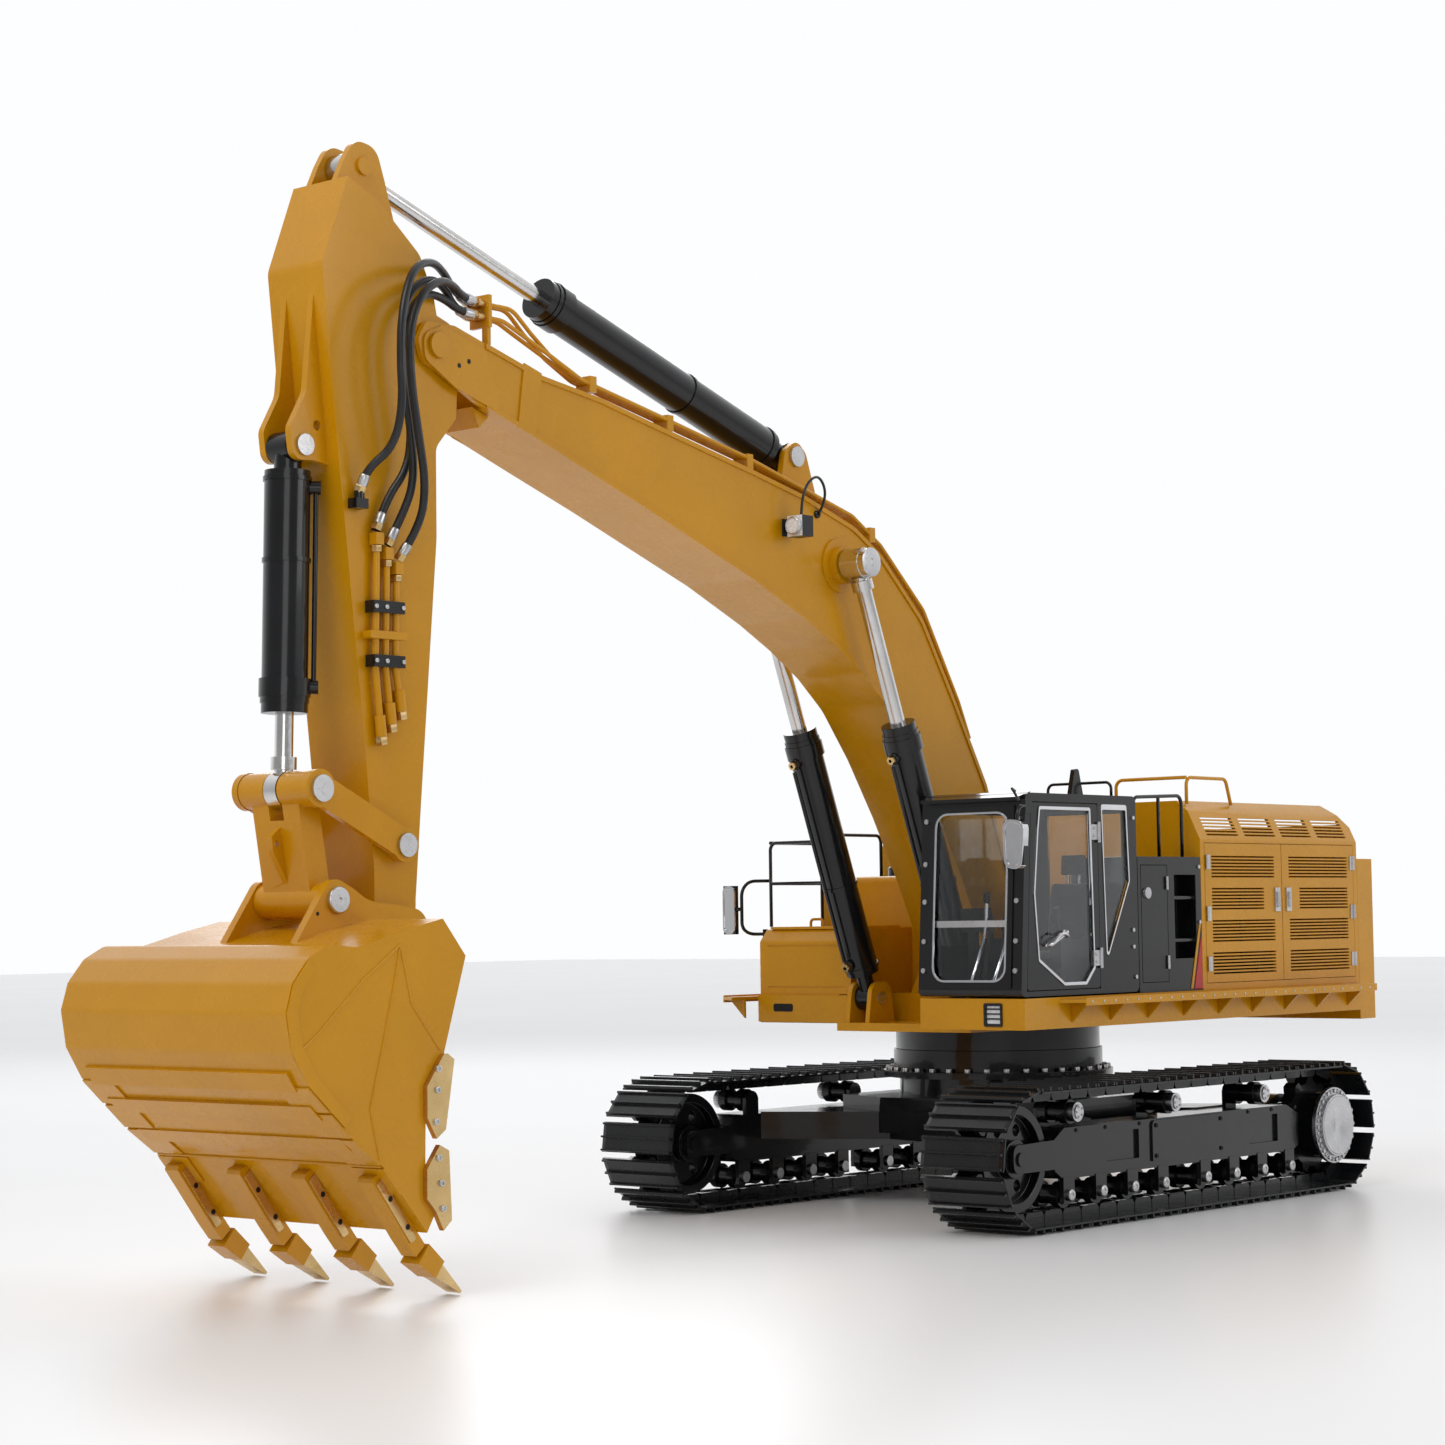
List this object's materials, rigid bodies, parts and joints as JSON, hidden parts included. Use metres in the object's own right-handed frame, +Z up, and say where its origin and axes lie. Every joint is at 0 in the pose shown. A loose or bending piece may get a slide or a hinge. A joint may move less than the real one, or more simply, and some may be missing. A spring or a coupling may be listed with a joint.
{
  "type": "radio-controlled crawler excavator model",
  "caption": "Radio-controlled 1:14 crawler excavator in yellow and black, with a slewing house, jointed boom, arm and toothed bucket, driven tracks and opening doors.",
  "frame": {"origin": "on the ground under the middle of the whole machine's bounding box at rest; the slew axis is 0.1882 m behind it", "axes": "+X forwards over the idlers and the boom, +Y to the operator's left where the cab is, +Z up"},
  "size_m": [0.9503, 0.3006, 0.5718],
  "materials": {
    "yellow_paint": "gloss",
    "black_paint": "gloss",
    "rubber": "matte",
    "brushed_steel": "brushed",
    "chrome": "polished",
    "brass": "satin",
    "glass": "clear",
    "matte_plastic": "matte",
    "fabric": "woven",
    "aluminium": "satin"
  },
  "bodies": {
    "undercarriage": {"car_body": "black_paint", "track_frame_left": "black_paint", "track_frame_right": "black_paint", "track_chain_left": "black_paint", "track_chain_right": "black_paint", "track_rollers": "brushed_steel", "slew_bearing": "black_paint"},
    "house": {"house_frame": "yellow_paint", "house_pins": "brushed_steel", "counterweight": "yellow_paint", "engine_cover": "yellow_paint", "side_cabinet": "black_paint", "walkway": "yellow_paint", "tool_box": "yellow_paint", "cab_shell": "black_paint", "cab_glass": "glass", "operator_seat": "fabric", "control_console": "matte_plastic", "mirrors": "black_paint", "hand_rails": "black_paint", "fasteners": "brushed_steel", "power_unit": "aluminium", "valve_block": "black_paint", "electronics": "matte_plastic"},
    "service_door_front": {"service_door_front": "yellow_paint"},
    "service_door_rear": {"service_door_rear": "yellow_paint"},
    "cabinet_door": {"cabinet_door": "black_paint"},
    "cab_door": {"cab_door": "black_paint", "cab_door_glass": "glass"},
    "boom": {"boom": "yellow_paint", "boom_pipes": "yellow_paint", "work_light": "black_paint", "light_wire": "rubber", "arm_hoses": "rubber"},
    "arm": {"arm": "yellow_paint", "arm_pins": "brushed_steel", "arm_pipes": "yellow_paint"},
    "bucket": {"bucket": "yellow_paint", "bucket_sides": "yellow_paint", "bucket_teeth": "brass"},
    "rocker_links": {"rocker_links": "yellow_paint"},
    "power_link": {"power_link": "yellow_paint"},
    "sprocket_left": {"sprocket_left": "black_paint"},
    "sprocket_right": {"sprocket_right": "black_paint"},
    "idler_left": {"idler_left": "black_paint"},
    "idler_right": {"idler_right": "black_paint"},
    "boom_barrel_left": {"boom_barrel_left": "black_paint"},
    "boom_barrel_right": {"boom_barrel_right": "black_paint"},
    "boom_rod_left": {"boom_rod_left": "chrome"},
    "boom_rod_right": {"boom_rod_right": "chrome"},
    "arm_barrel": {"arm_barrel": "black_paint"},
    "arm_rod": {"arm_rod": "chrome"},
    "bucket_barrel": {"bucket_barrel": "black_paint"},
    "bucket_rod": {"bucket_rod": "chrome"},
    "carrier_roller_left_1": {"carrier_roller_left_1": "brushed_steel"},
    "carrier_roller_left_2": {"carrier_roller_left_2": "brushed_steel"},
    "carrier_roller_left_3": {"carrier_roller_left_3": "brushed_steel"},
    "carrier_roller_right_1": {"carrier_roller_right_1": "brushed_steel"},
    "carrier_roller_right_2": {"carrier_roller_right_2": "brushed_steel"},
    "carrier_roller_right_3": {"carrier_roller_right_3": "brushed_steel"}
  },
  "joints": [
    {"name": "slew", "type": "hinge", "parent": "undercarriage", "child": "house", "pos_m": [-0.1882, 0, 0.095], "axis": [0, 0, 1], "continuous": true},
    {"name": "boom_lift", "type": "hinge", "parent": "house", "child": "boom", "pos_m": [-0.1722, 0, 0.15], "axis": [0, 1, 0], "range_deg": [-15, 15]},
    {"name": "arm_reach", "type": "hinge", "parent": "boom", "child": "arm", "pos_m": [0.3208, 0, 0.4715], "axis": [0, 1, 0], "range_deg": [-35, 15], "deforming": ["arm_hoses"]},
    {"name": "bucket_curl", "type": "hinge", "parent": "arm", "child": "bucket", "pos_m": [0.3488, 0, 0.169], "axis": [0, 1, 0], "range_deg": [-15, 45]},
    {"name": "boom_barrel_swing_left", "type": "hinge", "parent": "house", "child": "boom_barrel_left", "pos_m": [-0.1062, 0.0376, 0.128], "axis": [0, 1, 0], "range_deg": [-15.51, 15.51]},
    {"name": "boom_rod_travel_left", "type": "slide", "parent": "boom_barrel_left", "child": "boom_rod_left", "axis": [0.367, 0, 0.9302], "range_m": [-0.01832, 0.01832]},
    {"name": "boom_barrel_swing_right", "type": "hinge", "parent": "house", "child": "boom_barrel_right", "pos_m": [-0.1062, -0.0376, 0.128], "axis": [0, 1, 0], "range_deg": [-15.51, 15.51]},
    {"name": "boom_rod_travel_right", "type": "slide", "parent": "boom_barrel_right", "child": "boom_rod_right", "axis": [0.367, 0, 0.9302], "range_m": [-0.01832, 0.01832]},
    {"name": "arm_barrel_swing", "type": "hinge", "parent": "boom", "child": "arm_barrel", "pos_m": [0.0198, 0, 0.447], "axis": [0, 1, 0], "range_deg": [-5.39, 2.31]},
    {"name": "arm_rod_travel", "type": "slide", "parent": "arm_barrel", "child": "arm_rod", "axis": [0.9491, 0, 0.315], "range_m": [-0.04921, 0.02109]},
    {"name": "rocker_swing", "type": "hinge", "parent": "arm", "child": "rocker_links", "pos_m": [0.3478, 0, 0.2168], "axis": [0, 1, 0], "range_deg": [-12.54, 37.62]},
    {"name": "power_link_swing", "type": "hinge", "parent": "rocker_links", "child": "power_link", "pos_m": [0.404, 0, 0.2438], "axis": [0, 1, 0], "range_deg": [-34.44, 11.48]},
    {"name": "bucket_barrel_swing", "type": "hinge", "parent": "arm", "child": "bucket_barrel", "pos_m": [0.3998, 0, 0.4135], "axis": [0, 1, 0], "range_deg": [-2.38, 0.79]},
    {"name": "bucket_rod_travel", "type": "slide", "parent": "bucket_barrel", "child": "bucket_rod", "axis": [0.0247, 0, -0.9997], "range_m": [-0.01283, 0.0385]},
    {"name": "track_drive_left", "type": "hinge", "parent": "undercarriage", "child": "sprocket_left", "pos_m": [-0.35528, 0.1218, 0.0408], "axis": [0, 1, 0], "continuous": true},
    {"name": "idler_spin_left", "type": "hinge", "parent": "undercarriage", "child": "idler_left", "pos_m": [-0.02112, 0.1218, 0.0408], "axis": [0, 1, 0], "continuous": true},
    {"name": "carrier_spin_left_1", "type": "hinge", "parent": "undercarriage", "child": "carrier_roller_left_1", "pos_m": [-0.0762, 0.1218, 0.0645], "axis": [0, 1, 0], "continuous": true},
    {"name": "carrier_spin_left_2", "type": "hinge", "parent": "undercarriage", "child": "carrier_roller_left_2", "pos_m": [-0.1802, 0.1218, 0.0645], "axis": [0, 1, 0], "continuous": true},
    {"name": "carrier_spin_left_3", "type": "hinge", "parent": "undercarriage", "child": "carrier_roller_left_3", "pos_m": [-0.2822, 0.1218, 0.0645], "axis": [0, 1, 0], "continuous": true},
    {"name": "track_drive_right", "type": "hinge", "parent": "undercarriage", "child": "sprocket_right", "pos_m": [-0.35528, -0.1218, 0.0408], "axis": [0, 1, 0], "continuous": true},
    {"name": "idler_spin_right", "type": "hinge", "parent": "undercarriage", "child": "idler_right", "pos_m": [-0.02112, -0.1218, 0.0408], "axis": [0, 1, 0], "continuous": true},
    {"name": "carrier_spin_right_1", "type": "hinge", "parent": "undercarriage", "child": "carrier_roller_right_1", "pos_m": [-0.0762, -0.1218, 0.0645], "axis": [0, 1, 0], "continuous": true},
    {"name": "carrier_spin_right_2", "type": "hinge", "parent": "undercarriage", "child": "carrier_roller_right_2", "pos_m": [-0.1802, -0.1218, 0.0645], "axis": [0, 1, 0], "continuous": true},
    {"name": "carrier_spin_right_3", "type": "hinge", "parent": "undercarriage", "child": "carrier_roller_right_3", "pos_m": [-0.2822, -0.1218, 0.0645], "axis": [0, 1, 0], "continuous": true},
    {"name": "cab_door_swing", "type": "hinge", "parent": "house", "child": "cab_door", "pos_m": [-0.1196, 0.1256, 0.189], "axis": [0, 0, 1], "range_deg": [0, 100]},
    {"name": "cabinet_door_swing", "type": "hinge", "parent": "house", "child": "cabinet_door", "pos_m": [-0.1928, 0.1254, 0.172], "axis": [0, 0, 1], "range_deg": [0, 100]},
    {"name": "service_door_front_swing", "type": "hinge", "parent": "house", "child": "service_door_front", "pos_m": [-0.2387, 0.1255, 0.177], "axis": [0, 0, -1], "range_deg": [0, 100]},
    {"name": "service_door_rear_swing", "type": "hinge", "parent": "house", "child": "service_door_rear", "pos_m": [-0.4197, 0.1255, 0.177], "axis": [0, 0, 1], "range_deg": [0, 100]}
  ],
  "couplings": [
    {"joint": "boom_barrel_swing_left", "follows": "boom_lift", "ratio": 1.0135},
    {"joint": "boom_rod_travel_left", "follows": "boom_lift", "m_per_rad": -0.068613},
    {"joint": "boom_barrel_swing_right", "follows": "boom_lift", "ratio": 1.0135},
    {"joint": "boom_rod_travel_right", "follows": "boom_lift", "m_per_rad": -0.068613},
    {"joint": "arm_barrel_swing", "follows": "arm_reach", "ratio": 0.1511},
    {"joint": "arm_rod_travel", "follows": "arm_reach", "m_per_rad": 0.078984},
    {"joint": "rocker_swing", "follows": "bucket_curl", "ratio": 0.8196},
    {"joint": "power_link_swing", "follows": "bucket_curl", "ratio": -0.7503},
    {"joint": "bucket_barrel_swing", "follows": "bucket_curl", "ratio": -0.0518},
    {"joint": "bucket_rod_travel", "follows": "bucket_curl", "m_per_rad": 0.048062},
    {"joint": "idler_spin_left", "follows": "track_drive_left", "ratio": 1},
    {"joint": "carrier_spin_left_1", "follows": "track_drive_left", "ratio": 4.4},
    {"joint": "carrier_spin_left_2", "follows": "track_drive_left", "ratio": 4.4},
    {"joint": "carrier_spin_left_3", "follows": "track_drive_left", "ratio": 4.4},
    {"joint": "idler_spin_right", "follows": "track_drive_right", "ratio": 1},
    {"joint": "carrier_spin_right_1", "follows": "track_drive_right", "ratio": 4.4},
    {"joint": "carrier_spin_right_2", "follows": "track_drive_right", "ratio": 4.4},
    {"joint": "carrier_spin_right_3", "follows": "track_drive_right", "ratio": 4.4}
  ]
}
